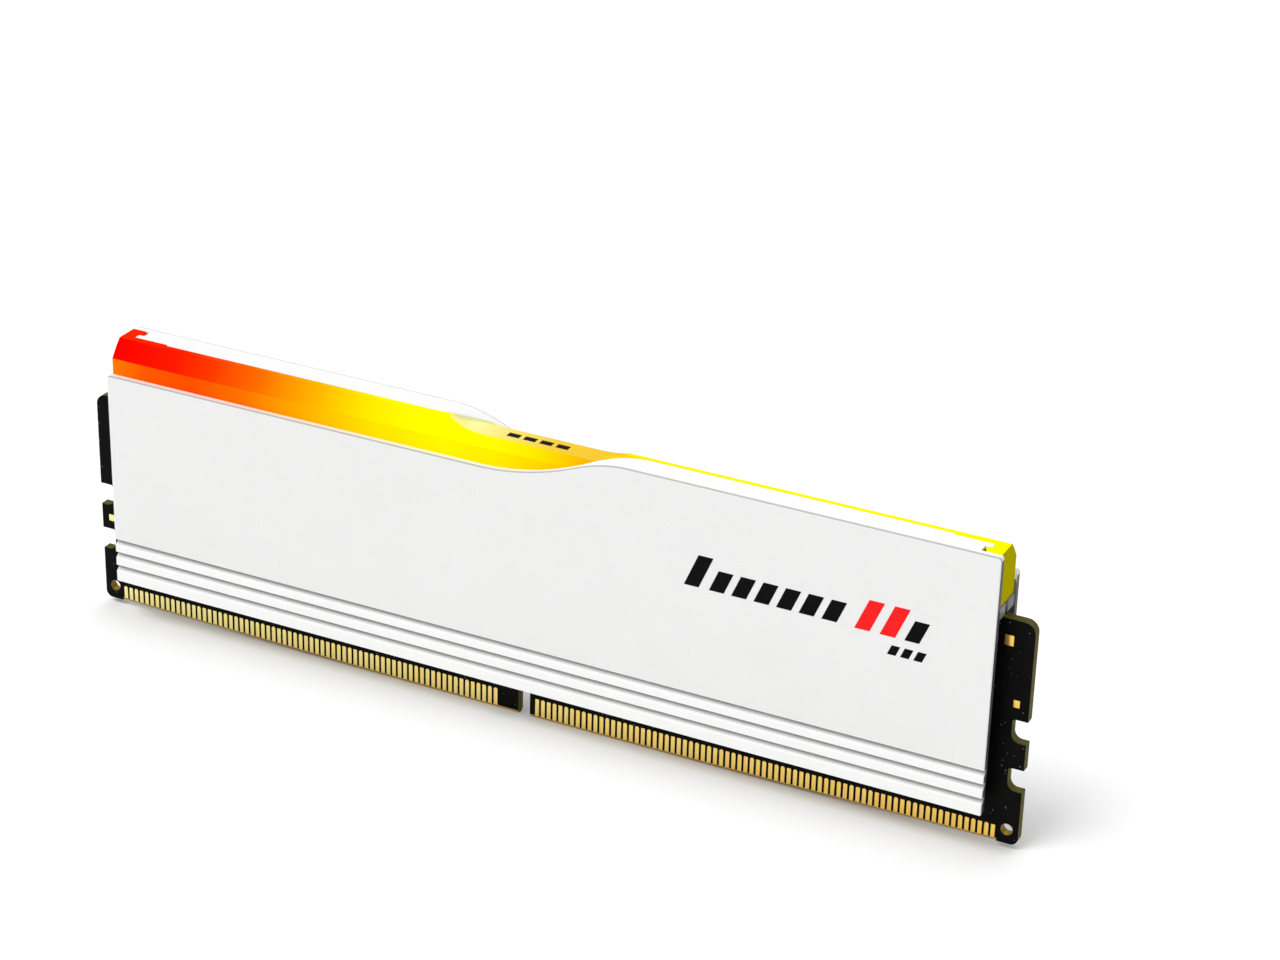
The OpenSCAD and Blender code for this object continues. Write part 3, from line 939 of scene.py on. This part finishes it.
def make_led(node):
    """A side-emitting diode: white housing, resin window facing up and two terminals."""
    low, high = box_mm(node)
    bm = bmesh.new()
    wall = 0.18
    block(bm, low, Vector((high.x, high.y, high.z - 0.35)), 0, 0.05)
    for x0, x1 in ((low.x, low.x + wall * 2), (high.x - wall * 2, high.x)):
        block(bm, (x0, low.y, high.z - 0.4), (x1, high.y, high.z), 0, 0.04)
        block(bm, (x0 + 0.05, low.y + 0.05, low.z - 0.02), (x1, high.y - 0.05, low.z + 0.3), 2, 0.02)
    for y0, y1 in ((low.y, low.y + wall), (high.y - wall, high.y)):
        block(bm, (low.x + wall, y0, high.z - 0.4), (high.x - wall, y1, high.z), 0, 0.04)
    block(bm, (low.x + wall * 1.8, low.y + wall * 0.8, high.z - 0.45),
          (high.x - wall * 1.8, high.y - wall * 0.8, high.z - 0.08), 1, 0.05, 2)
    bmesh.ops.recalc_face_normals(bm, faces=bm.faces)
    name = node + "_diode"
    place(name, as_mesh(bm, name, (HOUSING, PHOSPHOR, TIN)), node, "led_housing")


def make_thermal_pad(node):
    """A soft pad whose free edges bulge a little between the faces that squeeze it."""
    low, high = box_mm(node)
    bm = bmesh.new()
    thick, bulge, steps = high.y - low.y, 0.12, 6
    columns = max(4, int((high.x - low.x) / 1.5))
    rows = max(4, int((high.z - low.z) / 1.5))

    def ring(part):
        swell = bulge * (4 * part * (1 - part)) - bulge
        x0, x1 = low.x - swell, high.x + swell
        z0, z1 = low.z - swell, high.z + swell
        y = low.y + thick * part
        run = [(x0 + (x1 - x0) * i / columns, z0) for i in range(columns)]
        run += [(x1, z0 + (z1 - z0) * i / rows) for i in range(rows)]
        run += [(x1 - (x1 - x0) * i / columns, z1) for i in range(columns)]
        run += [(x0, z1 - (z1 - z0) * i / rows) for i in range(rows)]
        return [(x + rng.uniform(-0.02, 0.02), y, z + rng.uniform(-0.02, 0.02)) for x, z in run]

    loft(bm, [ring(i / steps) for i in range(steps + 1)], [0] * (2 * (columns + rows)), 0)
    bmesh.ops.recalc_face_normals(bm, faces=bm.faces)
    name = node + "_silicone"
    place(name, as_mesh(bm, name, (SILICONE,), 60), node, "thermal_pad")


def make_electronics():
    chips = ["dram_chip_%d" % i for i in range(1, 9)]
    for node in chips + ["power_management_chip", "spd_hub_chip", "light_controller_chip"]:
        make_package(node)
    for i in range(1, 4):
        make_components("power_inductor_%d" % i, "power_choke_%d" % i, "inductor_body", FERRITE, 0.2)
    make_components("bulk_capacitors", "bulk_capacitor_set", "capacitor_ceramic", CERAMIC, 0.22)
    for side in ("front", "rear"):
        make_components("decoupling_capacitors_" + side, "small_capacitors_" + side,
                        "capacitor_ceramic", CERAMIC, 0.25)
    make_components("series_resistors", "series_resistor_set", "chip_epoxy", EPOXY, 0.2)
    for i in range(1, 9):
        make_led("rgb_led_%d" % i)
    for node in ("front_thermal_pad_left", "front_thermal_pad_right", "power_gap_pad",
                 "rear_thermal_pad_left", "rear_thermal_pad_right"):
        make_thermal_pad(node)


def ink_the_prints():
    """The printed marks stay as the CAD has them and get their inks."""
    inks = {"light_bar_mark": BLACK_INK, "front_print_dark": BLACK_INK,
            "rear_print_dark": BLACK_INK, "front_print_accent": RED_INK,
            "rear_print_accent": RED_INK}
    for node, look in inks.items():
        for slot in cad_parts[node].material_slots:
            slot.material = look


# ---------------------------------------------------------------- stage

def make_floor():
    """A wide, pale, matt floor."""
    look = Look("studio_floor", Specular_IOR_Level=0.0)
    soft = look.noise(6, 2)
    look.link("Base Color", look.blend(soft, (0.93, 0.93, 0.93, 1), (0.95, 0.95, 0.95, 1)))
    look.link("Roughness", look.span(soft, 0.85, 0.95))
    bm = bmesh.new()
    bmesh.ops.create_grid(bm, x_segments=8, y_segments=8, size=4.0)
    mesh = bpy.data.meshes.new("studio_floor")
    bm.to_mesh(mesh)
    bm.free()
    mesh.materials.append(look.material)
    floor = bpy.data.objects.new("studio_floor", mesh)
    scene.collection.objects.link(floor)


def make_sun(name, azimuth, elevation, strength, softness):
    """A soft sun; azimuth 0 shines from the front, along +Y, and 90 from the right."""
    data = bpy.data.lights.new(name, "SUN")
    data.energy = strength
    data.angle = math.radians(softness)
    a, e = math.radians(azimuth), math.radians(elevation)
    source = Vector((math.sin(a) * math.cos(e), -math.cos(a) * math.cos(e), math.sin(e)))
    sun = bpy.data.objects.new(name, data)
    sun.rotation_mode = "QUATERNION"
    sun.rotation_quaternion = source.to_track_quat("Z", "Y")
    scene.collection.objects.link(sun)


def make_world():
    """An even white surround, brighter to look at than as a light."""
    world = bpy.data.worlds.new("studio")
    scene.world = world
    world.use_nodes = True
    tree = world.node_tree
    tree.nodes["Background"].inputs["Strength"].default_value = WORLD_LIGHT
    seen = tree.nodes.new("ShaderNodeBackground")
    seen.inputs["Color"].default_value = (1, 1, 1, 1)
    tree.nodes["Background"].inputs["Color"].default_value = (1, 1, 1, 1)
    mix = tree.nodes.new("ShaderNodeMixShader")
    path = tree.nodes.new("ShaderNodeLightPath")
    tree.links.new(path.outputs["Is Camera Ray"], mix.inputs["Fac"])
    tree.links.new(tree.nodes["Background"].outputs[0], mix.inputs[1])
    tree.links.new(seen.outputs[0], mix.inputs[2])
    tree.links.new(mix.outputs[0], tree.nodes["World Output"].inputs["Surface"])


def make_camera():
    data = bpy.data.cameras.new("camera")
    data.sensor_width = 36.0
    data.lens = LENS
    a, e = math.radians(CAMERA_AZIMUTH), math.radians(CAMERA_ELEVATION)
    back = Vector((math.sin(a) * math.cos(e), -math.cos(a) * math.cos(e), math.sin(e)))
    camera = bpy.data.objects.new("camera", data)
    camera.location = (Vector(CAMERA_AIM) + back * CAMERA_DISTANCE) * MM
    camera.rotation_mode = "QUATERNION"
    level = (-back).to_track_quat("-Z", "Y")
    camera.rotation_quaternion = level @ Quaternion((0, 0, 1), math.radians(CAMERA_ROLL))
    data.clip_start = 0.01
    data.clip_end = 20
    scene.collection.objects.link(camera)
    scene.camera = camera


scene.view_settings.view_transform = "Standard"
scene.view_settings.look = "None"
make_camera()
make_world()
make_floor()
make_sun("key_light", -38, 60, 1.75, 35)
make_sun("fill_light", 190, 55, 0.72, 60)

make_heat_spreaders()
make_light_bar()
make_board()
make_contacts("front_contact_row", "contacts_front", -1)
make_contacts("rear_contact_row", "contacts_rear", 1)
make_test_pads()
make_electronics()
ink_the_prints()
